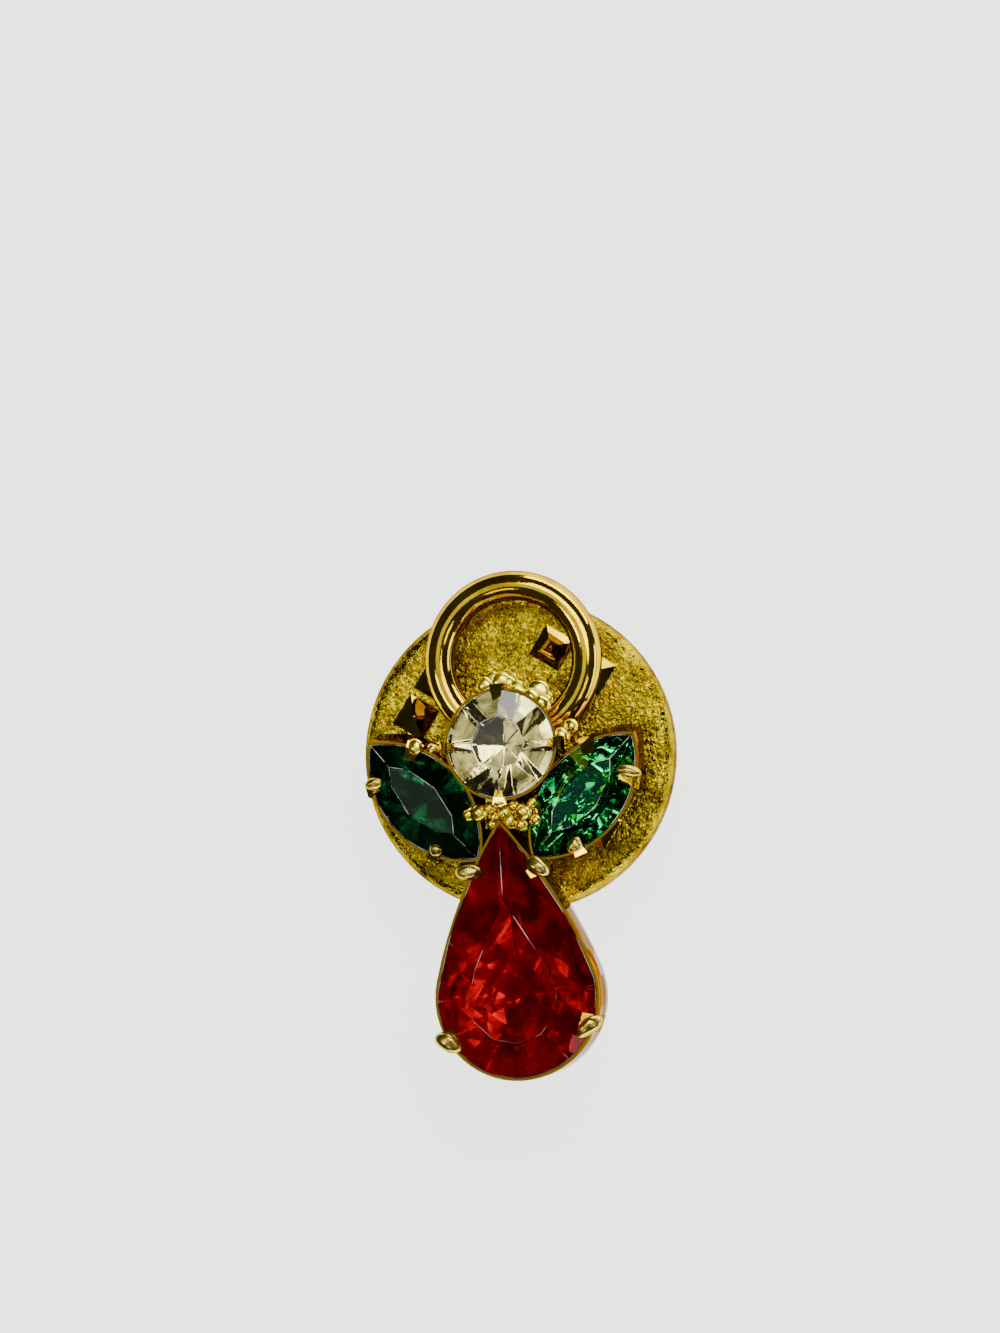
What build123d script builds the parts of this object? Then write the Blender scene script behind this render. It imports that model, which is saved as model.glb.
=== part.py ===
from build123d import *
from collections import namedtuple
from functools import partial
from math import atan, cos, degrees, radians, sin, sqrt, tan
import os

# Lapel pin in millimetres: an angel of four cut stones, its post pushed into a clutch.
# +X is right and +Y is up toward the halo as seen from the front, and +Z points out of the face.
# The origin is on the axis of the post, in the plane that the clutch rests on.

# Fits between pieces
STONE_CLEARANCE = 0.03
POST_CLEARANCE = 0.05
PLATE_CLEARANCE = 0.03

# Outline sizes and places of the stones
HEAD_D = 4.12
HEAD_X = 0.03
HEAD_Y = 0.17
LEFT_WING_LENGTH = 6.1
RIGHT_WING_LENGTH = 6.0
WING_WIDTH = 3.1
LEFT_WING_TURN = -46.0
RIGHT_WING_TURN = 51.0
LEFT_WING_GAP = 0.18
RIGHT_WING_GAP = 0.0
LEFT_WING_SLIDE = -0.66
RIGHT_WING_SLIDE = 0.39
BODY_LENGTH = 9.75
BODY_WIDTH = 6.15
BODY_SIDE_R = 19.0
BODY_TIP_X = -0.12
BODY_TIP_Y = -2.91
BODY_TURN = 6.0
HEAD_GIRDLE_Z = 9.4
WING_GIRDLE_Z = 8.4
BODY_GIRDLE_Z = 8.9
GIRDLE_THICKNESS = 0.12
RIM_STEPS = 360

# Cutting of the stones: heights are taken from the middle of the girdle
HEAD_CROWN = 0.85
HEAD_PAVILION = 1.8
HEAD_SLOPE = 36.0
HEAD_SIDES = 8
WING_CROWN = 0.64
WING_PAVILION = 1.35
WING_SLOPE = 33.0
WING_SIDE_AZIMUTH = 78.5
WING_END_AZIMUTH = 52.0
BODY_CROWN = 1.0
BODY_PAVILION = 2.0
BODY_FLAT = 0.03

# Cups: the wall stands outside the stone's outline and the ledge reaches under its edge
CUP_WALL = 0.12
CUP_LEDGE = 0.18
CUP_FLOOR = 0.35
CUP_RIM_ABOVE_GIRDLE = 0.05
HEAD_CUP_BASE_Z = 7.0
HEAD_CUP_FLARE = -0.5
WING_CUP_BASE_Z = 6.5
WING_CUP_LEAN = 0.42
BODY_CUP_BASE_Z = 6.4
BODY_CUP_FLARE = -0.03
CAVITY_OVERCUT = 0.3

# Claws: flat tabs up the cup wall, bent in over the crown and narrower at the tip
CLAW_STEM = 0.9
CLAW_OUT = 0.27
CLAW_SHOULDER = 0.02
CLAW_SLOPE = 33.0
CLAW_THICKNESS = 0.24
CLAW_TIP_THICKNESS = 0.11

# Solder web from the head's cup to the body's cup
WEB_WIDTH = 1.2
WEB_INTO_HEAD = 0.44
WEB_INTO_BODY = 0.14
WEB_BOTTOM_Z = 7.2
WEB_TOP_Z = 8.5

# Halo ring behind the head
HALO_X = 0.03
HALO_Y = 3.62
HALO_Z = 6.6
HALO_CENTRE_R = 2.93
HALO_WIRE_D = 1.18

# Post
POST_D = 1.0
POST_TIP_Z = 0.9
POST_TIP_LENGTH = 0.8
POST_TIP_FLAT_D = 0.3
POST_TOP_Z = 7.3

# Clutch plate: a stamped sheet with its rim turned down
DISC_D = 12.46
DISC_FACE_Z = 5.4
DISC_SHEET = 0.35
DISC_RIM_R = 0.5
DISC_RIM_DEPTH = 0.85
POINT_SIDE = 1.22
POINT_HEIGHT = 0.5
POINT_TOP_SIDE = 0.08
POINT_SKIRT = 0.09
POINT_SKIRT_HEIGHT = 0.07
POINT_PATTERN_TURN = -31.0
SIDE_PAIR_OUT = 4.25
SIDE_PAIR_APART = 1.64
END_PAIR_OUT = 4.3
END_PAIR_APART = 1.9

# Clutch grip: a hub under the plate with two arched finger wings
HUB_D = 3.8
EAR_SHEET = 0.45
EAR_WIDTH = 4.6
EAR_OUTER_R = 2.4
EAR_CENTRE_Y = 2.3

Facet = namedtuple("Facet", "azimuth slope")
Cut = namedtuple("Cut", "outline crown_height pavilion_depth crown flat")
Claw = namedtuple("Claw", "azimuth reach root_width tip_width")
# A cup's base grows by flare and shifts up the face by lean against its rim
Seat = namedtuple("Seat", "node cut spot girdle_z turn base_z flare lean claws")


def round_outline(diameter, grow=0.0):
    """Circle centred on the origin, grown all round."""
    return Circle(diameter / 2 + grow)


def navette_outline(length, width, grow=0.0):
    """Pointed oval of two equal arcs with its length on X, grown all round."""
    arc_r = ((length / 2) ** 2 + (width / 2) ** 2) / width
    centre_y = arc_r - width / 2
    half_length = sqrt((arc_r + grow) ** 2 - centre_y**2)
    half_width = width / 2 + grow
    upper = ThreePointArc((-half_length, 0), (0, half_width), (half_length, 0))
    lower = ThreePointArc((half_length, 0), (0, -half_width), (-half_length, 0))
    return make_face(Curve() + [upper, lower])


def pear_outline(length, width, side_r, grow=0.0):
    """Drop with its round end centred on the origin and its tip on +Y, grown all round."""
    round_r = width / 2
    tip_y = length - round_r
    centre_gap = side_r - round_r
    centre_y = (centre_gap**2 - side_r**2 + tip_y**2) / (2 * tip_y)
    centre_x = -sqrt(centre_gap**2 - centre_y**2)
    centre = Vector(centre_x, centre_y)
    tip = Vector(0, centre_y + sqrt((side_r + grow) ** 2 - centre_x**2))
    touch = centre * (-(round_r + grow) / centre_gap)
    middle = centre + ((touch + tip) / 2 - centre).normalized() * (side_r + grow)
    right = ThreePointArc(touch, middle, tip)
    left = ThreePointArc(tip, Vector(-middle.X, middle.Y), Vector(-touch.X, touch.Y))
    bottom = ThreePointArc(Vector(-touch.X, touch.Y), (0, -round_r - grow), touch)
    return make_face(Curve() + [right, left, bottom])


def toward(azimuth):
    """Unit vector in the girdle plane at an azimuth from +X."""
    return Vector(cos(radians(azimuth)), sin(radians(azimuth)), 0)


def edge_point(outline, azimuth):
    """Point of a convex outline that lies farthest out at an azimuth."""
    rim = outline().face().outer_wire()
    points = [rim.position_at(step / RIM_STEPS) for step in range(RIM_STEPS)]
    return max(points, key=lambda point: point.dot(toward(azimuth)))


def facet_plane(outline, azimuth, slope, side, grow):
    """Plane of a facet that starts at the edge of the girdle; side is 1 above it and -1 below."""
    out = toward(azimuth)
    normal = out * sin(radians(slope)) + Vector(0, 0, side * cos(radians(slope)))
    reach = edge_point(outline, azimuth).dot(out)
    start = out * reach + Vector(0, 0, side * GIRDLE_THICKNESS / 2)
    return Plane(origin=start + normal * grow, z_dir=normal)


def cut_stone(cut, grow=0.0):
    """Faceted stone with the middle of its girdle at z = 0, every face moved out by grow."""
    height = cut.pavilion_depth + cut.crown_height + 2 * grow
    blank = extrude(cut.outline(grow=grow), height)
    stone = Pos(0, 0, -cut.pavilion_depth - grow) * blank
    for facet in cut.crown:
        top = facet_plane(cut.outline, facet.azimuth, facet.slope, 1, grow)
        stone = split(stone, top, Keep.BOTTOM)
        reach = edge_point(cut.outline, facet.azimuth).dot(toward(facet.azimuth))
        slope = degrees(atan((cut.pavilion_depth - GIRDLE_THICKNESS / 2) / reach))
        under = facet_plane(cut.outline, facet.azimuth, slope, -1, grow)
        stone = split(stone, under, Keep.BOTTOM)
        if cut.flat:
            flat_at = toward(facet.azimuth) * (reach - cut.flat + grow)
            stone = split(stone, Plane(origin=flat_at, z_dir=toward(facet.azimuth)), Keep.BOTTOM)
    return stone


def claw(cut, row):
    """Tab up the cup wall and in over the crown, in the frame of the stone."""
    out = toward(row.azimuth)
    edge = edge_point(cut.outline, row.azimuth)
    girdle_top = GIRDLE_THICKNESS / 2
    tip_rise = girdle_top + row.reach * tan(radians(CLAW_SLOPE))
    profile = Polygon(
        (CLAW_OUT, -CLAW_STEM),
        (CLAW_OUT, girdle_top + CLAW_SHOULDER),
        (0, girdle_top + CLAW_THICKNESS),
        (-row.reach, tip_rise + CLAW_TIP_THICKNESS),
        (-row.reach, girdle_top),
        (0, -CLAW_STEM),
        align=None,
    )
    upright = Plane(origin=edge, x_dir=out, z_dir=out.cross(Vector(0, 0, 1)))
    tab = extrude(upright * profile, row.root_width / 2, both=True)
    narrowing = (row.root_width - row.tip_width) / 2 / (CLAW_OUT + row.reach)
    for side in (-1, 1):
        across = out.cross(Vector(0, 0, side))
        corner = edge + out * CLAW_OUT + across * row.root_width / 2
        tab = split(tab, Plane(origin=corner, z_dir=across - out * narrowing), Keep.BOTTOM)
    return tab


def place(seat):
    """Location of a stone's own frame."""
    return Pos(seat.spot.X, seat.spot.Y, seat.girdle_z) * Rot(0, 0, seat.turn)


def cup_section(seat, grow, z):
    """Outline of a cup at a height, with the share of flare and lean that it has there."""
    rim_z = seat.girdle_z + CUP_RIM_ABOVE_GIRDLE
    share = (rim_z - z) / (rim_z - seat.base_z)
    face = seat.cut.outline(grow=grow + seat.flare * share)
    return Pos(seat.spot.X, seat.spot.Y + seat.lean * share, z) * Rot(0, 0, seat.turn) * face


def cup(seat):
    """Cup with a closed floor and a ledge under the stone."""
    rim_z = seat.girdle_z + CUP_RIM_ABOVE_GIRDLE
    floor_z = seat.base_z + CUP_FLOOR
    sections = [cup_section(seat, CUP_WALL, seat.base_z), cup_section(seat, CUP_WALL, rim_z)]
    inner = [cup_section(seat, -CUP_LEDGE, floor_z), cup_section(seat, -CUP_LEDGE, rim_z + CAVITY_OVERCUT)]
    return loft(sections, ruled=True) - loft(inner, ruled=True)


def post():
    """Plain pointed post on the Z axis."""
    shank_bottom = POST_TIP_Z + POST_TIP_LENGTH
    shank_length = POST_TOP_Z - shank_bottom
    shank = Pos(0, 0, shank_bottom + shank_length / 2) * Cylinder(POST_D / 2, shank_length)
    tip = Cone(POST_TIP_FLAT_D / 2, POST_D / 2, POST_TIP_LENGTH)
    return shank + Pos(0, 0, POST_TIP_Z + POST_TIP_LENGTH / 2) * tip


def mounted_cup(seat):
    """Cup with its claws, hollowed for its own stone."""
    claws = [place(seat) * claw(seat.cut, row) for row in seat.claws]
    return cup(seat) + claws - place(seat) * cut_stone(seat.cut, STONE_CLEARANCE)


def solder_web():
    """Block of solder under the chin of the head, reaching both cup walls."""
    top_y = HEAD_Y - HEAD_D / 2 + WEB_INTO_HEAD
    bottom_y = BODY_TIP_Y - WEB_INTO_BODY
    middle = Pos(BODY_TIP_X, (top_y + bottom_y) / 2, (WEB_BOTTOM_Z + WEB_TOP_Z) / 2)
    return middle * Box(WEB_WIDTH, top_y - bottom_y, WEB_TOP_Z - WEB_BOTTOM_Z)


def setting(seats):
    """Cups, claws, solder, halo and post as one soldered piece."""
    halo = Pos(HALO_X, HALO_Y, HALO_Z) * Torus(HALO_CENTRE_R, HALO_WIRE_D / 2)
    body = mounted_cup(seats[0]) + (halo + post()) + solder_web()
    for seat in seats[1:]:
        body += mounted_cup(seat)
    return body


def raised_point(top_z):
    """Square pyramid with a flatter skirt round its foot, its base plane at top_z."""
    foot_side = POINT_SIDE + 2 * POINT_SKIRT
    foot = Pos(0, 0, top_z) * Rectangle(foot_side, foot_side)
    waist = Pos(0, 0, top_z + POINT_SKIRT_HEIGHT) * Rectangle(POINT_SIDE, POINT_SIDE)
    apex = Pos(0, 0, top_z + POINT_HEIGHT) * Rectangle(POINT_TOP_SIDE, POINT_TOP_SIDE)
    return loft([foot, waist], ruled=True) + loft([waist, apex], ruled=True)


def clutch_disc():
    """Stamped round plate: bored for the post, rim turned down, eight points pressed up."""
    outer_r = DISC_D / 2
    inner_r = outer_r - DISC_SHEET
    rim_z = DISC_FACE_Z - DISC_RIM_DEPTH
    under_z = DISC_FACE_Z - DISC_SHEET
    section = Pos(outer_r / 2, (DISC_FACE_Z + rim_z) / 2) * Rectangle(outer_r, DISC_RIM_DEPTH)
    section = fillet(section.vertices().group_by(Axis.X)[-1].sort_by(Axis.Y)[-1], DISC_RIM_R)
    under = Pos(inner_r / 2, (under_z + rim_z) / 2) * Rectangle(inner_r, under_z - rim_z)
    under = fillet(under.vertices().group_by(Axis.X)[-1].sort_by(Axis.Y)[-1], DISC_RIM_R - DISC_SHEET)
    plate = revolve(Plane.XZ * (section - under), Axis.Z)
    turned_edge = Pos(0, 0, rim_z) * Torus(outer_r - DISC_SHEET / 2, DISC_SHEET / 2)
    plate += turned_edge
    for right in (-1, 1):
        for up in (-1, 1):
            side_spot = Pos(right * SIDE_PAIR_OUT, up * SIDE_PAIR_APART / 2)
            end_spot = Pos(right * END_PAIR_APART / 2, up * END_PAIR_OUT)
            for spot in (side_spot, end_spot):
                at = Rot(0, 0, POINT_PATTERN_TURN) * spot
                plate += at * raised_point(DISC_FACE_Z)
                plate -= at * raised_point(DISC_FACE_Z - DISC_SHEET)
    return plate - Pos(0, 0, DISC_FACE_Z) * Cylinder(POST_D / 2 + POST_CLEARANCE, 2 * DISC_FACE_Z)


def clutch_grip():
    """Plain hub bored through for the post, with an arched finger wing on either side."""
    hub_height = DISC_FACE_Z - DISC_SHEET - PLATE_CLEARANCE
    hub = Pos(0, 0, hub_height / 2) * Cylinder(HUB_D / 2, hub_height)
    arch = Circle(EAR_OUTER_R) - Circle(EAR_OUTER_R - EAR_SHEET)
    arch &= Pos(0, EAR_OUTER_R) * Rectangle(2 * EAR_OUTER_R, 2 * EAR_OUTER_R)
    ear = extrude(Plane.YZ * Pos(EAR_CENTRE_Y, 0) * arch, EAR_WIDTH / 2, both=True)
    grip = hub + ear + mirror(ear, Plane.XZ)
    return grip - Pos(0, 0, hub_height / 2) * Cylinder(POST_D / 2 + POST_CLEARANCE, 2 * hub_height)


def around(azimuths_and_slopes):
    """Facets at each azimuth and its mirror image across the Y axis."""
    facets = [Facet(azimuth, slope) for azimuth, slope in azimuths_and_slopes]
    return facets + [Facet(180 - facet.azimuth, facet.slope) for facet in facets]


HEAD_CUT = Cut(
    outline=partial(round_outline, HEAD_D),
    crown_height=HEAD_CROWN,
    pavilion_depth=HEAD_PAVILION,
    crown=[Facet((side + 0.5) * 360 / HEAD_SIDES, HEAD_SLOPE) for side in range(HEAD_SIDES)],
    flat=0,
)
WING_FACETS = [
    Facet(side * azimuth + turn, WING_SLOPE)
    for azimuth in (WING_SIDE_AZIMUTH, WING_END_AZIMUTH)
    for side in (-1, 1)
    for turn in (0, 180)
]
LEFT_WING_CUT = Cut(
    outline=partial(navette_outline, LEFT_WING_LENGTH, WING_WIDTH),
    crown_height=WING_CROWN,
    pavilion_depth=WING_PAVILION,
    crown=WING_FACETS,
    flat=0,
)
RIGHT_WING_CUT = LEFT_WING_CUT._replace(outline=partial(navette_outline, RIGHT_WING_LENGTH, WING_WIDTH))
BODY_CUT = Cut(
    outline=partial(pear_outline, BODY_LENGTH, BODY_WIDTH, BODY_SIDE_R),
    crown_height=BODY_CROWN,
    pavilion_depth=BODY_PAVILION,
    crown=around([(28, 30.4), (18, 33.3), (-8, 34), (-42, 34), (-75, 34)]),
    flat=BODY_FLAT,
)

HEAD_CLAWS = [
    Claw(azimuth=1, reach=0.3, root_width=0.55, tip_width=0.22),
    Claw(azimuth=94, reach=0.42, root_width=0.6, tip_width=0.24),
    Claw(azimuth=184, reach=0.3, root_width=0.55, tip_width=0.22),
    Claw(azimuth=269, reach=0.32, root_width=0.55, tip_width=0.22),
]
LEFT_WING_CLAWS = [
    Claw(azimuth=62.4, reach=0.34, root_width=0.6, tip_width=0.36),
    Claw(azimuth=117.6, reach=0.45, root_width=0.66, tip_width=0.4),
    Claw(azimuth=242.4, reach=0.24, root_width=0.5, tip_width=0.28),
    Claw(azimuth=297.6, reach=0.24, root_width=0.5, tip_width=0.28),
]
RIGHT_WING_CLAWS = [
    Claw(azimuth=62.4, reach=0.45, root_width=0.66, tip_width=0.4),
    Claw(azimuth=117.6, reach=0.36, root_width=0.58, tip_width=0.36),
    Claw(azimuth=242.4, reach=0.26, root_width=0.5, tip_width=0.28),
    Claw(azimuth=297.6, reach=0.5, root_width=0.62, tip_width=0.24),
]
BODY_CLAWS = [
    Claw(azimuth=30, reach=0.3, root_width=0.58, tip_width=0.34),
    Claw(azimuth=149.5, reach=0.3, root_width=0.58, tip_width=0.34),
    Claw(azimuth=-23.5, reach=0.42, root_width=0.66, tip_width=0.5),
    Claw(azimuth=205, reach=0.38, root_width=0.66, tip_width=0.5),
]

head_spot = Vector(HEAD_X, HEAD_Y)


def wing_spot(turn, gap, slide):
    """Centre of a wing: a gap lies between its edge and the head, and slide is along its length."""
    away = toward(turn - 90) * (HEAD_D / 2 + gap + WING_WIDTH / 2)
    return head_spot + away + toward(turn) * slide


left_wing_spot = wing_spot(LEFT_WING_TURN, LEFT_WING_GAP, LEFT_WING_SLIDE)
right_wing_spot = wing_spot(RIGHT_WING_TURN, RIGHT_WING_GAP, RIGHT_WING_SLIDE)
body_tip = Vector(BODY_TIP_X, BODY_TIP_Y)
body_spot = body_tip - toward(BODY_TURN + 90) * (BODY_LENGTH - BODY_WIDTH / 2)

SEATS = [
    Seat(
        node="head_stone",
        cut=HEAD_CUT,
        spot=head_spot,
        girdle_z=HEAD_GIRDLE_Z,
        turn=0,
        base_z=HEAD_CUP_BASE_Z,
        flare=HEAD_CUP_FLARE,
        lean=0,
        claws=HEAD_CLAWS,
    ),
    Seat(
        node="body_stone",
        cut=BODY_CUT,
        spot=body_spot,
        girdle_z=BODY_GIRDLE_Z,
        turn=BODY_TURN,
        base_z=BODY_CUP_BASE_Z,
        flare=BODY_CUP_FLARE,
        lean=0,
        claws=BODY_CLAWS,
    ),
    Seat(
        node="left_wing_stone",
        cut=LEFT_WING_CUT,
        spot=left_wing_spot,
        girdle_z=WING_GIRDLE_Z,
        turn=LEFT_WING_TURN,
        base_z=WING_CUP_BASE_Z,
        flare=0,
        lean=WING_CUP_LEAN,
        claws=LEFT_WING_CLAWS,
    ),
    Seat(
        node="right_wing_stone",
        cut=RIGHT_WING_CUT,
        spot=right_wing_spot,
        girdle_z=WING_GIRDLE_Z,
        turn=RIGHT_WING_TURN,
        base_z=WING_CUP_BASE_Z,
        flare=0,
        lean=WING_CUP_LEAN,
        claws=RIGHT_WING_CLAWS,
    ),
]

os.makedirs("parts", exist_ok=True)
for seat in SEATS:
    export_step(place(seat) * cut_stone(seat.cut), f"parts/{seat.node}.step")
export_step(setting(SEATS), "parts/setting.step")
export_step(clutch_disc(), "parts/clutch_disc.step")
export_step(clutch_grip(), "parts/clutch_grip.step")
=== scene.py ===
import math
from collections import namedtuple

import bmesh
import bpy
from mathutils import Matrix, Vector, noise as mathnoise


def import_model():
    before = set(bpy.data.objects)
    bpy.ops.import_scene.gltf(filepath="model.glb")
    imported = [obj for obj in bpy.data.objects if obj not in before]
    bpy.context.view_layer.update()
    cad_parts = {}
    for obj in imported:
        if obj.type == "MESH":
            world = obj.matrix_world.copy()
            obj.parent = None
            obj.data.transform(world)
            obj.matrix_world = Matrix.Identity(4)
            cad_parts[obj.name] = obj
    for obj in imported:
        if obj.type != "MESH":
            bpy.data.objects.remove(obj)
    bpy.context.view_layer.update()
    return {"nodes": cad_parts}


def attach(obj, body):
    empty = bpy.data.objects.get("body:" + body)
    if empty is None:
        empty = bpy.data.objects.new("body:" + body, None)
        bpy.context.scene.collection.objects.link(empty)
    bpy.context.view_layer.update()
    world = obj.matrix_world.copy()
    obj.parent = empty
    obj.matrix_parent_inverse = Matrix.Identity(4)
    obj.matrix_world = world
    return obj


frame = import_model()
nodes = frame["nodes"]

MM = 0.001

# Heights of the middles of the stones' girdles, mm
HEAD_GIRDLE_Z = 9.4
WING_GIRDLE_Z = 8.4
BODY_GIRDLE_Z = 8.9
STONE_GIRDLES = {
    "head_stone": HEAD_GIRDLE_Z,
    "left_wing_stone": WING_GIRDLE_Z,
    "right_wing_stone": WING_GIRDLE_Z,
    "body_stone": BODY_GIRDLE_Z,
}

# Camera: a long lens almost square on to the face, from the right and a little below
HEAD_GIRDLE = Vector((0.03, 0.17, HEAD_GIRDLE_Z))
CAMERA_FROM_HEAD = Vector((26.01, -7.85, 147.52))
CAMERA_AIM_FROM_HEAD = Vector((-0.03, 2.99, 0.0))
FOCAL_PX = 3900
IMAGE_HEIGHT_PX = 1333
SENSOR_MM = 36
CLIP_START_M = 0.01
CLIP_END_M = 2.0

# Foil on the back of the stones: it starts below the girdle and is darker where it is stained
FOIL_BELOW_GIRDLE_MM = 0.05
FOIL_STAIN = 0.35

# Folds of the foil and the painted edge highlights change along the figure from this share to their whole
LEAST_ALONG_FIGURE = 0.15

# Painted shade on the flat rims of the cups: a darker colour, by height over the girdle
RIM_FROM_MM = 0.03
RIM_TO_MM = 0.065
RIM_PAINTED_SHADE = (0.2, 0.12, 0.0)

# The points of the clutch plate are polished above this height, to this share of its roughness
POINTS_FROM_Z = 5.43
POLISHED_SHARE = 0.3
ABOVE_EVERYTHING_Z = 100

# Painted highlights on the facet edges: pale lines on the crowns alone, growing from the first Y to the
# second, mm
EDGE_HIGHLIGHT_ABOVE_GIRDLE_MM = 0.04
EDGE_HIGHLIGHT_SHARPER_THAN = 25
EDGE_HIGHLIGHT_HALF_WIDTH_MM = 0.014
EDGE_HIGHLIGHT_ALONG_Y = (-11.5, -7.0)

# Rounding of the edges of the stones and of the metal, by width and by the least turn in degrees
STONE_EDGE_MM = 0.03
STONE_EDGE_SHARPER_THAN = 12
METAL_EDGE_MM = 0.04
METAL_EDGE_SHARPER_THAN = 35
EDGE_SEGMENTS = 2
WELD_MM = 0.001

# Blobs: how finely they are made, how slowly they swell, and by what share
BLOB_SUBDIVISIONS = 4
BLOB_WAVES = 0.9
BLOB_APART = 3
SOLDER_UNEVENNESS = 0.12
TIP_UNEVENNESS = 0.2

# Lumps of solder, mm: centre, radius and flattening toward the face
Lump = namedtuple("Lump", "x y z radius squash")
LUMPS = [
    # granules on either side of the chin
    Lump(-0.92, -2.45, 8.86, 0.34, 0.9),
    Lump(-1.38, -2.52, 8.66, 0.22, 0.9),
    Lump(-0.52, -2.26, 8.66, 0.26, 0.9),
    Lump(-0.36, -2.60, 8.80, 0.20, 0.9),
    Lump(0.80, -2.42, 8.86, 0.36, 0.9),
    Lump(1.25, -2.72, 8.66, 0.24, 0.9),
    Lump(0.40, -2.20, 8.66, 0.28, 0.9),
    Lump(1.10, -2.08, 8.58, 0.24, 0.9),
    Lump(0.70, -2.92, 8.56, 0.29, 0.9),
    Lump(0.04, -2.42, 8.50, 0.36, 0.8),
    Lump(-0.46, -2.86, 8.44, 0.26, 0.8),
    Lump(0.24, -2.74, 8.60, 0.26, 0.8),
    Lump(-0.02, -2.02, 9.38, 0.28, 0.7),
    # foot of the flow behind the crown, against the head's cup
    Lump(-0.74, 2.07, 7.30, 0.46, 0.8),
    Lump(-0.26, 2.20, 7.30, 0.46, 0.8),
    Lump(0.24, 2.21, 7.30, 0.44, 0.8),
    Lump(0.86, 2.04, 7.30, 0.44, 0.8),
    Lump(1.23, 1.83, 7.30, 0.42, 0.8),
    # flow behind the crown of the head
    Lump(-0.97, 2.60, 7.25, 0.34, 0.6),
    Lump(-0.66, 2.80, 7.20, 0.34, 0.5),
    Lump(-0.35, 2.74, 7.25, 0.38, 0.5),
    Lump(-0.05, 2.62, 7.20, 0.34, 0.6),
    Lump(0.28, 2.50, 7.25, 0.28, 0.6),
    Lump(1.13, 2.32, 7.20, 0.46, 0.4),
    Lump(1.42, 2.06, 7.15, 0.34, 0.5),
    # tongues between the head and the wings
    Lump(-3.66, 0.14, 8.00, 0.25, 0.9),
    Lump(-2.90, 0.06, 8.00, 0.24, 0.9),
    Lump(-3.46, 0.14, 8.70, 0.30, 0.6),
    Lump(-2.35, 0.02, 7.80, 0.36, 0.8),
    Lump(-2.05, -0.55, 8.00, 0.22, 0.9),
    Lump(2.52, 0.92, 7.90, 0.30, 0.8),
    Lump(2.98, 0.06, 8.30, 0.16, 0.9),
    Lump(2.14, 0.50, 7.90, 0.38, 0.8),
]

# Rounded ends of the claws, mm: centre, direction in degrees, and full sizes
ClawTip = namedtuple("ClawTip", "x y z azimuth length width height")
CLAW_TIPS = [
    # left wing
    ClawTip(-5.10, -1.28, 8.68, 10, 0.70, 0.50, 0.40),
    ClawTip(-2.66, -3.86, 8.66, 80, 0.50, 0.50, 0.36),
    # right wing
    ClawTip(4.84, -0.87, 8.76, 170, 1.10, 0.48, 0.40),
    ClawTip(2.80, -3.70, 8.70, 60, 0.70, 0.56, 0.40),
    # top of the pear
    ClawTip(-1.26, -4.72, 9.22, 10, 0.95, 0.62, 0.54),
    ClawTip(1.42, -4.52, 9.22, 150, 1.05, 0.66, 0.54),
    # foot of the pear
    ClawTip(-2.02, -11.28, 9.17, -30, 1.15, 0.72, 0.58),
    ClawTip(3.40, -10.62, 9.17, 215, 1.25, 0.68, 0.58),
]

# Softboxes as seen from the pin: direction and size in degrees, and radiance
Lamp = namedtuple("Lamp", "name azimuth elevation width height brightness")
LAMPS = [
    Lamp("window", 62, 13, 56, 18, 9.0),
    Lamp("overhead", 150, 80, 26, 26, 1.15),
    Lamp("upper_right", 62, 68, 34, 20, 8.0),
    Lamp("left", 190, 58, 12, 12, 9.0),
    Lamp("low_front", 287, 12, 60, 12, 12.0),
    Lamp("low_right", 355, 12, 40, 14, 5.0),
    Lamp("front", 262, 60, 16, 12, 3.0),
    Lamp("right", 340, 60, 12, 12, 3.5),
]
LAMP_DISTANCE_MM = 260
LAMP_AIM = Vector((0, -2, 7))
SURROUNDINGS = 0.05

# Ground: its side and how far it lies under the clutch, in metres, and its own glow
GROUND_SIDE_M = 0.6
GROUND_DROP_M = 0.00001
GROUND_GLOW = 2.0

# Relief of a surface: cells in a millimetre, strength, and depth in metres
Relief = namedtuple("Relief", "scale strength depth_m")


def new_material(name):
    """Empty node material, its tree and its output."""
    material = bpy.data.materials.new(name)
    material.use_nodes = True
    tree = material.node_tree
    tree.nodes.clear()
    output = tree.nodes.new("ShaderNodeOutputMaterial")
    return material, tree, output


def feed(tree, node, inputs):
    """Sets a node's inputs, each to a value or to the output that feeds it."""
    for key, value in inputs.items():
        if isinstance(value, bpy.types.NodeSocket):
            tree.links.new(value, node.inputs[key])
        else:
            node.inputs[key].default_value = value


def add_node(tree, kind, inputs):
    """Node of a kind with its inputs set."""
    node = tree.nodes.new(kind)
    feed(tree, node, inputs)
    return node


def axis_place(tree, axis):
    """Place along one axis of the object's own frame, in metres."""
    coord = tree.nodes.new("ShaderNodeTexCoord")
    split = add_node(tree, "ShaderNodeSeparateXYZ", {"Vector": coord.outputs["Object"]})
    return split.outputs[axis]


def texture_place(tree, seed, stretch=(1, 1, 1), tilt=(0, 0, 0)):
    """Place in millimetres of the object's own frame, shifted by a seed."""
    coord = tree.nodes.new("ShaderNodeTexCoord")
    mapping = add_node(tree, "ShaderNodeMapping", {
        "Vector": coord.outputs["Object"],
        "Location": (seed, seed * 0.7, seed * 1.3),
        "Rotation": tilt,
        "Scale": tuple(part / MM for part in stretch),
    })
    return mapping.outputs["Vector"]


def noise(tree, scale, detail, distortion, seed, stretch=(1, 1, 1)):
    """Soft noise with a scale in cells a millimetre."""
    texture = add_node(tree, "ShaderNodeTexNoise", {
        "Vector": texture_place(tree, seed, stretch),
        "Scale": scale,
        "Detail": detail,
        "Distortion": distortion,
    })
    return texture.outputs["Fac"]


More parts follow.
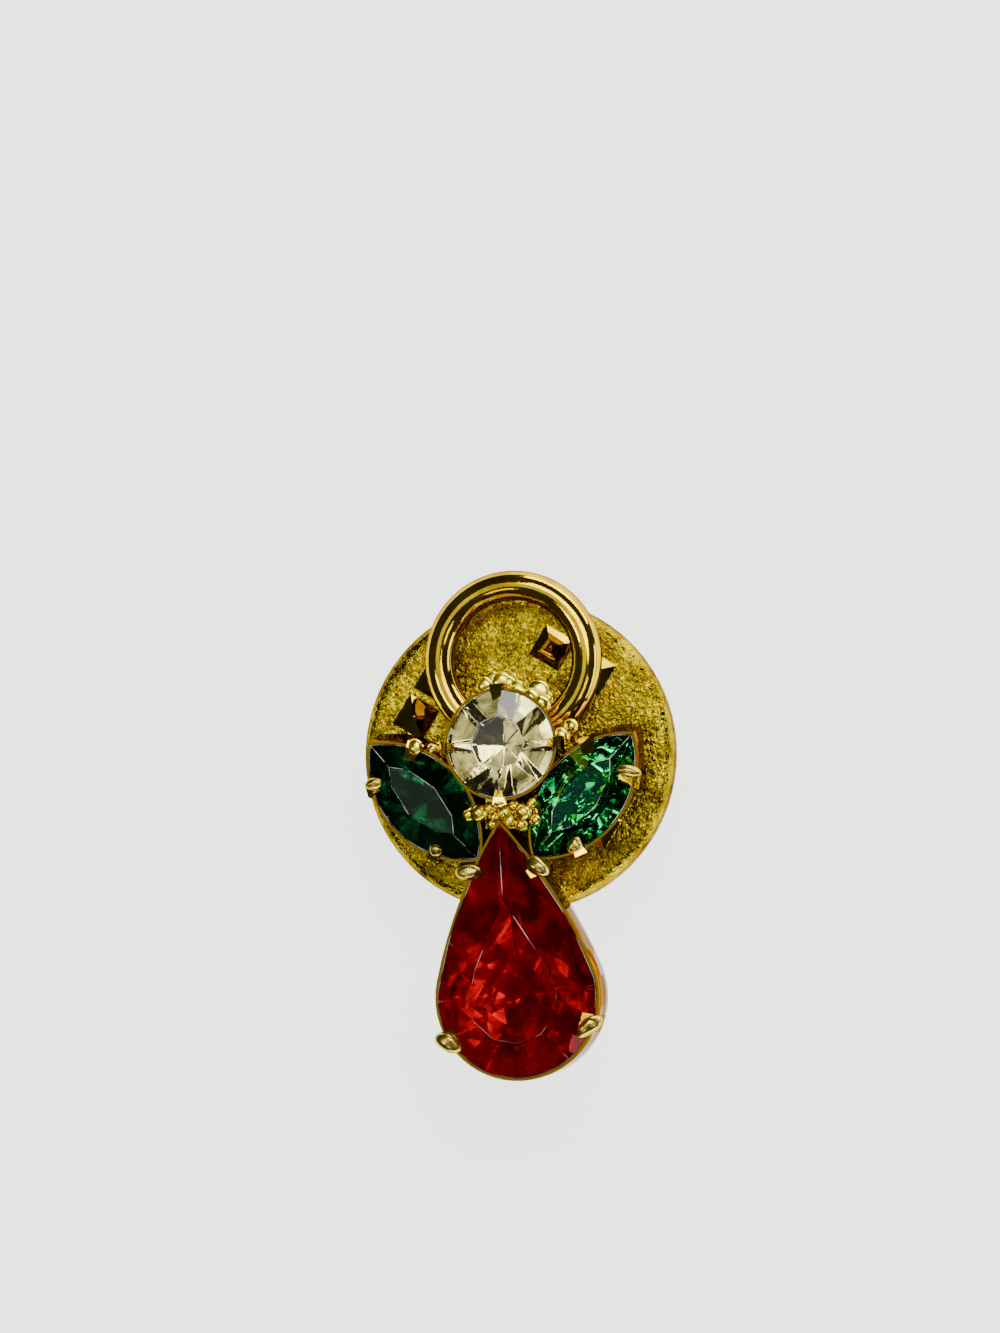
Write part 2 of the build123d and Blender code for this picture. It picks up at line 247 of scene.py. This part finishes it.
def creases(tree, scale, seed):
    """Height of flat-sided cells with a scale in cells a millimetre."""
    cells = tree.nodes.new("ShaderNodeTexVoronoi")
    cells.distance = "MANHATTAN"
    feed(tree, cells, {"Vector": texture_place(tree, seed, tilt=(0.3, 0.2, 0.6)), "Scale": scale})
    return cells.outputs["Distance"]


def ramp(tree, source, low, low_colour, high, high_colour):
    """Colour that runs from one to another between two values of the source."""
    node = add_node(tree, "ShaderNodeValToRGB", {"Fac": source})
    first, last = node.color_ramp.elements
    first.position, first.color = low, (*low_colour, 1)
    last.position, last.color = high, (*high_colour, 1)
    return node.outputs["Color"]


def remap(tree, source, low, high, start=0.0, end=1.0):
    """Value from start..end spread between low and high."""
    node = add_node(tree, "ShaderNodeMapRange", {
        "Value": source,
        "From Min": start,
        "From Max": end,
        "To Min": low,
        "To Max": high,
    })
    return node.outputs["Result"]


def bump(tree, height, strength, depth_m, normal=None):
    """Normal of a surface with a relief, laid over another normal where one is given."""
    inputs = {"Height": height, "Strength": strength, "Distance": depth_m}
    if normal:
        inputs["Normal"] = normal
    return add_node(tree, "ShaderNodeBump", inputs).outputs["Normal"]


def calculate(tree, operation, first, second):
    """Two values put together by a math operation."""
    node = tree.nodes.new("ShaderNodeMath")
    node.operation = operation
    feed(tree, node, {0: first, 1: second})
    return node.outputs[0]


def below_height(tree, z):
    """One below a height in millimetres and nothing above it."""
    return calculate(tree, "LESS_THAN", axis_place(tree, "Z"), z * MM)


def between_heights(tree, spans):
    """One inside any of the spans of height in millimetres, which don't overlap."""
    total = None
    for low, high in spans:
        inside = calculate(tree, "SUBTRACT", below_height(tree, high), below_height(tree, low))
        total = calculate(tree, "ADD", total, inside) if total else inside
    return total


def along_figure(tree, from_y, to_y):
    """Value that grows from a little at one Y to one at another, in millimetres."""
    y = axis_place(tree, "Y")
    return remap(tree, y, low=LEAST_ALONG_FIGURE, high=1.0, start=from_y * MM, end=to_y * MM)


def gilt(name, dark, light, edge, rough, grain, wave, smooth_above=ABOVE_EVERYTHING_Z, painted_shade_spans=()):
    """Gold-coloured plating whose colour and gloss vary. Its grain stops at the height
    smooth_above, and it is darkened by painted shade between the heights of each span."""
    material, tree, output = new_material(name)
    patches = noise(tree, scale=0.9, detail=6, distortion=0.4, seed=3)
    colour = ramp(tree, patches, low=0.35, low_colour=dark, high=0.65, high_colour=light)
    # painted shade: a darker colour over the rims of the cups
    if painted_shade_spans:
        mix = tree.nodes.new("ShaderNodeMix")
        mix.data_type = "RGBA"
        feed(tree, mix, {"Factor": between_heights(tree, painted_shade_spans), 6: colour, 7: (*RIM_PAINTED_SHADE, 1)})
        colour = mix.outputs[2]
    satin_part = below_height(tree, smooth_above)
    smears = noise(tree, scale=2.5, detail=6, distortion=0.5, seed=9)
    gloss = remap(tree, smears, low=rough[0], high=rough[1], start=0.3, end=0.7)
    satin_share = remap(tree, satin_part, low=POLISHED_SHARE, high=1.0)
    swell = noise(tree, wave.scale, detail=2, distortion=0.3, seed=11)
    slow = bump(tree, swell, wave.strength, wave.depth_m)
    even_grain = noise(tree, grain.scale, detail=3, distortion=0.6, seed=5)
    grains = calculate(tree, "MULTIPLY", even_grain, satin_part)
    shader = add_node(tree, "ShaderNodeBsdfPrincipled", {
        "Base Color": colour,
        "Metallic": 1.0,
        "Specular Tint": (*edge, 1),
        "Roughness": calculate(tree, "MULTIPLY", gloss, satin_share),
        "Normal": bump(tree, grains, grain.strength, grain.depth_m, slow),
    })
    tree.links.new(shader.outputs["BSDF"], output.inputs["Surface"])
    return material


def clear_glass(tree, tint, sheen, ior):
    """Glass of the crown with faint scratches; sheen tints its surface gloss."""
    scratches = noise(tree, scale=2.0, detail=2, distortion=1.5, seed=21, stretch=(0.4, 9, 1))
    unevenness = noise(tree, scale=1.5, detail=3, distortion=0, seed=4)
    shader = add_node(tree, "ShaderNodeBsdfPrincipled", {
        "Base Color": (*tint, 1),
        "Transmission Weight": 1.0,
        "IOR": ior,
        "Specular Tint": (*sheen, 1),
        "Roughness": remap(tree, scratches, low=0.0, high=0.12, start=0.62, end=0.75),
        "Normal": bump(tree, unevenness, strength=0.06, depth_m=0.00002),
    })
    return shader.outputs["BSDF"]


def stained_foil(tree, colour, metallic, rough, wave, crease, creased):
    """Foil on the back, with folds that grow over the range creased along Y."""
    stained = tuple(part * FOIL_STAIN for part in colour)
    stains = noise(tree, scale=0.55, detail=4, distortion=0.8, seed=13)
    folds = calculate(tree, "MULTIPLY", creases(tree, crease.scale, seed=3), along_figure(tree, *creased))
    folded = bump(tree, folds, crease.strength, crease.depth_m)
    swell = noise(tree, scale=1.8, detail=2, distortion=0.5, seed=7)
    shader = add_node(tree, "ShaderNodeBsdfPrincipled", {
        "Metallic": metallic,
        "Base Color": ramp(tree, stains, low=0.42, low_colour=stained, high=0.56, high_colour=colour),
        "Roughness": rough,
        "Normal": bump(tree, swell, wave, depth_m=0.00006, normal=folded),
    })
    return shader.outputs["BSDF"]


def glass(name, tint, sheen, ior, girdle_z, foil, foil_metallic, foil_rough, foil_wave, crease, creased):
    """Cut glass with a reflecting foil on every face below the girdle."""
    material, tree, output = new_material(name)
    mix = add_node(tree, "ShaderNodeMixShader", {
        "Fac": below_height(tree, girdle_z - FOIL_BELOW_GIRDLE_MM),
        1: clear_glass(tree, tint, sheen, ior),
        2: stained_foil(tree, foil, foil_metallic, foil_rough, foil_wave, crease, creased),
    })
    tree.links.new(mix.outputs["Shader"], output.inputs["Surface"])
    return material


def painted_edge_highlight():
    """Pale painted highlight along an edge, which comes and goes along its length."""
    material, tree, output = new_material("painted_edge_highlight")
    pale = add_node(tree, "ShaderNodeBsdfPrincipled", {
        "Base Color": (0.75, 0.7, 0.68, 1),
        "Roughness": 0.35,
    })
    clear = tree.nodes.new("ShaderNodeBsdfTransparent")
    patches = noise(tree, scale=0.8, detail=5, distortion=0.5, seed=31)
    highlighted_part = remap(tree, patches, low=0.0, high=0.9, start=0.45, end=0.6)
    mix = add_node(tree, "ShaderNodeMixShader", {
        "Fac": calculate(tree, "MULTIPLY", highlighted_part, along_figure(tree, *EDGE_HIGHLIGHT_ALONG_Y)),
        1: clear.outputs["BSDF"],
        2: pale.outputs["BSDF"],
    })
    tree.links.new(mix.outputs["Shader"], output.inputs["Surface"])
    return material


def paint(piece, material):
    """Gives a piece one material."""
    piece.data.materials.clear()
    piece.data.materials.append(material)


def soften(piece, width_mm, sharper_than):
    """Rounds the sharp edges so that they catch the light."""
    weld = piece.modifiers.new("weld", "WELD")
    weld.merge_threshold = WELD_MM * MM
    rounding = piece.modifiers.new("soft_edges", "BEVEL")
    rounding.width = width_mm * MM
    rounding.segments = EDGE_SEGMENTS
    rounding.limit_method = "ANGLE"
    rounding.angle_limit = math.radians(sharper_than)
    rounding.use_clamp_overlap = True


def smooth_piece(name, mesh):
    """Object of a smooth-shaded mesh."""
    data = bpy.data.meshes.new(name)
    mesh.to_mesh(data)
    mesh.free()
    for polygon in data.polygons:
        polygon.use_smooth = True
    piece = bpy.data.objects.new(name, data)
    bpy.context.scene.collection.objects.link(piece)
    return piece


def add_blob(mesh, centre, azimuth, half, unevenness):
    """Uneven rounded blob: half sizes along its azimuth, across it and out of the face, in mm."""
    ball = bmesh.ops.create_icosphere(mesh, subdivisions=BLOB_SUBDIVISIONS, radius=1.0)
    turn = Matrix.Rotation(math.radians(azimuth), 3, "Z")
    for vertex in ball["verts"]:
        away = vertex.co.normalized()
        uneven = 1 + unevenness * mathnoise.noise(away * BLOB_WAVES + centre * BLOB_APART)
        here = turn @ Vector((away.x * half.x, away.y * half.y, away.z * half.z)) * uneven
        vertex.co = (centre + here) * MM


def solder():
    """Lumps of solder as one uneven mesh."""
    mesh = bmesh.new()
    for lump in LUMPS:
        centre = Vector((lump.x, lump.y, lump.z))
        half = Vector((lump.radius, lump.radius, lump.radius * lump.squash))
        add_blob(mesh, centre, 0, half, SOLDER_UNEVENNESS)
    return smooth_piece("solder_lumps", mesh)


def claw_tips():
    """Worn rounded ends of the claws as one mesh."""
    mesh = bmesh.new()
    for tip in CLAW_TIPS:
        half = Vector((tip.length, tip.width, tip.height)) / 2
        add_blob(mesh, Vector((tip.x, tip.y, tip.z)), tip.azimuth, half, TIP_UNEVENNESS)
    return smooth_piece("claw_tips", mesh)


def add_ridge(mesh, first, second):
    """Thin four-sided bar between two points in metres."""
    along = (second - first).normalized()
    side = along.orthogonal().normalized() * EDGE_HIGHLIGHT_HALF_WIDTH_MM * MM
    up = along.cross(side)
    ring = [side, up, -side, -up]
    start, end = ([mesh.verts.new(place + corner) for corner in ring] for place in (first, second))
    for index in range(len(ring)):
        after = (index + 1) % len(ring)
        mesh.faces.new((start[index], start[after], end[after], end[index]))
    mesh.faces.new(start[::-1])
    mesh.faces.new(end)


def facet_edge_highlights():
    """Thin ridges along the facet edges of the crowns that carry painted highlights, as one mesh."""
    mesh = bmesh.new()
    sharp = math.radians(EDGE_HIGHLIGHT_SHARPER_THAN)
    for name, girdle_z in STONE_GIRDLES.items():
        stone = bmesh.new()
        stone.from_mesh(nodes[name].data)
        bmesh.ops.remove_doubles(stone, verts=stone.verts, dist=WELD_MM * MM)
        lowest = (girdle_z + EDGE_HIGHLIGHT_ABOVE_GIRDLE_MM) * MM
        for edge in stone.edges:
            first, second = (vertex.co for vertex in edge.verts)
            if min(first.z, second.z) > lowest and edge.calc_face_angle(0) > sharp:
                add_ridge(mesh, first, second)
        stone.free()
    return smooth_piece("facet_edge_highlights", mesh)


def floor():
    """Plain pale ground under the clutch."""
    bpy.ops.mesh.primitive_plane_add(size=GROUND_SIDE_M, location=(0, 0, -GROUND_DROP_M))
    ground = bpy.context.object
    ground.name = "ground"
    material, tree, output = new_material("pale_ground")
    clouds = noise(tree, scale=0.05, detail=2, distortion=0, seed=1)
    shader = add_node(tree, "ShaderNodeBsdfPrincipled", {
        "Base Color": ramp(tree, clouds, 0.3, (0.93, 0.93, 0.93), 0.7, (0.95, 0.95, 0.95)),
        "Roughness": 0.7,
        "Specular IOR Level": 0.1,
        "Emission Color": (1, 1, 1, 1),
        "Emission Strength": GROUND_GLOW,
    })
    tree.links.new(shader.outputs["BSDF"], output.inputs["Surface"])
    paint(ground, material)
    return ground


def softbox(row):
    """Rectangular light that looks at the pin."""
    light = bpy.data.lights.new(row.name, "AREA")
    light.shape = "RECTANGLE"
    light.size = 2 * LAMP_DISTANCE_MM * math.tan(math.radians(row.width / 2)) * MM
    light.size_y = 2 * LAMP_DISTANCE_MM * math.tan(math.radians(row.height / 2)) * MM
    light.energy = row.brightness * math.pi * light.size * light.size_y
    lamp = bpy.data.objects.new(row.name, light)
    bpy.context.scene.collection.objects.link(lamp)
    flat = math.cos(math.radians(row.elevation))
    out = Vector((
        flat * math.cos(math.radians(row.azimuth)),
        flat * math.sin(math.radians(row.azimuth)),
        math.sin(math.radians(row.elevation)),
    ))
    lamp.location = LAMP_AIM * MM + out * LAMP_DISTANCE_MM * MM
    lamp.rotation_euler = (-out).to_track_quat("-Z", "Y").to_euler()
    return lamp


def camera():
    """Camera at the photo's viewing angle."""
    data = bpy.data.cameras.new("camera")
    data.sensor_fit = "VERTICAL"
    data.sensor_height = SENSOR_MM
    data.lens = FOCAL_PX / IMAGE_HEIGHT_PX * SENSOR_MM
    data.clip_start = CLIP_START_M
    data.clip_end = CLIP_END_M
    viewer = bpy.data.objects.new("camera", data)
    bpy.context.scene.collection.objects.link(viewer)
    place = HEAD_GIRDLE + CAMERA_FROM_HEAD
    aim = HEAD_GIRDLE + CAMERA_AIM_FROM_HEAD
    back = (place - aim).normalized()
    right = Vector((0, 1, 0)).cross(back).normalized()
    turn = Matrix((right, back.cross(right), back)).transposed()
    viewer.matrix_world = Matrix.Translation(place * MM) @ turn.to_4x4()
    bpy.context.scene.camera = viewer


def world():
    """Dim even surroundings."""
    surroundings = bpy.data.worlds.new("studio")
    surroundings.use_nodes = True
    background = surroundings.node_tree.nodes["Background"]
    background.inputs["Color"].default_value = (1, 1, 1, 1)
    background.inputs["Strength"].default_value = SURROUNDINGS
    bpy.context.scene.world = surroundings


polished = gilt(
    "polished_gilt_plate",
    dark=(0.42, 0.25, 0.0),
    light=(0.74, 0.5, 0.0),
    edge=(0.22, 0.13, 0.0),
    rough=(0.03, 0.12),
    grain=Relief(scale=6.0, strength=0.12, depth_m=0.00002),
    wave=Relief(scale=0.9, strength=0.12, depth_m=0.0001),
    # painted shade on the cup rims just above each girdle
    painted_shade_spans=[(z + RIM_FROM_MM, z + RIM_TO_MM) for z in sorted(set(STONE_GIRDLES.values()))],
)
plain_satin = gilt(
    "plain_satin_gilt",
    dark=(0.34, 0.2, 0.0),
    light=(0.6, 0.42, 0.01),
    edge=(0.3, 0.2, 0.0),
    rough=(0.16, 0.3),
    grain=Relief(scale=5.0, strength=0.2, depth_m=0.00004),
    wave=Relief(scale=0.6, strength=0.06, depth_m=0.0001),
)
worn = gilt(
    "worn_gilt_plate",
    dark=(0.36, 0.25, 0.03),
    light=(0.66, 0.5, 0.1),
    edge=(0.4, 0.3, 0.06),
    rough=(0.18, 0.32),
    grain=Relief(scale=6.0, strength=0.15, depth_m=0.00002),
    wave=Relief(scale=1.4, strength=0.02, depth_m=0.00002),
)
# Brighter gold for the solder than for the rest of the plating: painted light on the granules and flows
solder_painted_light = gilt(
    "solder_gilt_painted_light",
    dark=(0.95, 0.74, 0.02),
    light=(1.0, 0.9, 0.08),
    edge=(0.7, 0.5, 0.02),
    rough=(0.16, 0.34),
    grain=Relief(scale=4.0, strength=0.2, depth_m=0.00003),
    wave=Relief(scale=1.4, strength=0.02, depth_m=0.00002),
)
satin = gilt(
    "satin_gilt_plate",
    dark=(0.16, 0.1, 0.0),
    light=(0.45, 0.34, 0.0),
    edge=(0.2, 0.14, 0.0),
    rough=(0.06, 0.17),
    grain=Relief(scale=5.0, strength=0.9, depth_m=0.00009),
    wave=Relief(scale=0.6, strength=0.15, depth_m=0.0001),
    smooth_above=POINTS_FROM_Z,
)
clear = glass(
    "clear_cut_glass",
    tint=(0.95, 0.92, 0.66),
    sheen=(1, 1, 0.9),
    ior=1.56,
    girdle_z=HEAD_GIRDLE_Z,
    foil=(0.95, 0.9, 0.58),
    foil_metallic=1.0,
    foil_rough=0.04,
    foil_wave=0.06,
    crease=Relief(scale=0.5, strength=0.05, depth_m=0.00005),
    creased=(2, -2),
)
# Lit copy of the green glass for the right wing: brighter tint and foil as painted light
green_painted_light = glass(
    "green_cut_glass",
    tint=(0.0, 0.44, 0.1),
    sheen=(0.1, 0.5, 0.3),
    ior=1.54,
    girdle_z=WING_GIRDLE_Z,
    foil=(0.9, 0.95, 0.9),
    foil_metallic=1.0,
    foil_rough=0.03,
    foil_wave=0.12,
    crease=Relief(scale=0.7, strength=1.0, depth_m=0.0004),
    creased=(0.5, -2.5),
)
# Shaded copy of the same green glass for the left wing: darker tint and foil as painted shade
green_painted_shade = glass(
    "dark_green_cut_glass",
    tint=(0.002, 0.08, 0.022),
    sheen=(0.3, 0.4, 0.32),
    ior=1.54,
    girdle_z=WING_GIRDLE_Z,
    foil=(0.8, 0.85, 0.8),
    foil_metallic=0.9,
    foil_rough=0.1,
    foil_wave=0.2,
    crease=Relief(scale=0.9, strength=0.3, depth_m=0.0001),
    creased=(-3.0, 0.0),
)
red = glass(
    "red_cut_glass",
    tint=(0.42, 0.0, 0.004),
    sheen=(0.35, 0.01, 0.015),
    ior=1.54,
    girdle_z=BODY_GIRDLE_Z,
    foil=(0.95, 0.9, 0.9),
    foil_metallic=0.6,
    foil_rough=0.1,
    foil_wave=0.12,
    crease=Relief(scale=0.7, strength=0.5, depth_m=0.0002),
    creased=(-6.5, -10.0),
)
paint(nodes["setting"], polished)
paint(nodes["clutch_disc"], satin)
paint(nodes["clutch_grip"], plain_satin)
paint(nodes["head_stone"], clear)
paint(nodes["left_wing_stone"], green_painted_shade)
paint(nodes["right_wing_stone"], green_painted_light)
paint(nodes["body_stone"], red)
for name in STONE_GIRDLES:
    soften(nodes[name], STONE_EDGE_MM, STONE_EDGE_SHARPER_THAN)
soften(nodes["setting"], METAL_EDGE_MM, METAL_EDGE_SHARPER_THAN)

# pale painted highlights along the crown facet edges
edge_highlight_material = painted_edge_highlight()
for piece, metal in ((solder(), solder_painted_light), (claw_tips(), worn), (facet_edge_highlights(), edge_highlight_material)):
    paint(piece, metal)
    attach(piece, "pin")

ground = floor()
lamps = [softbox(row) for row in LAMPS]
camera()
world()
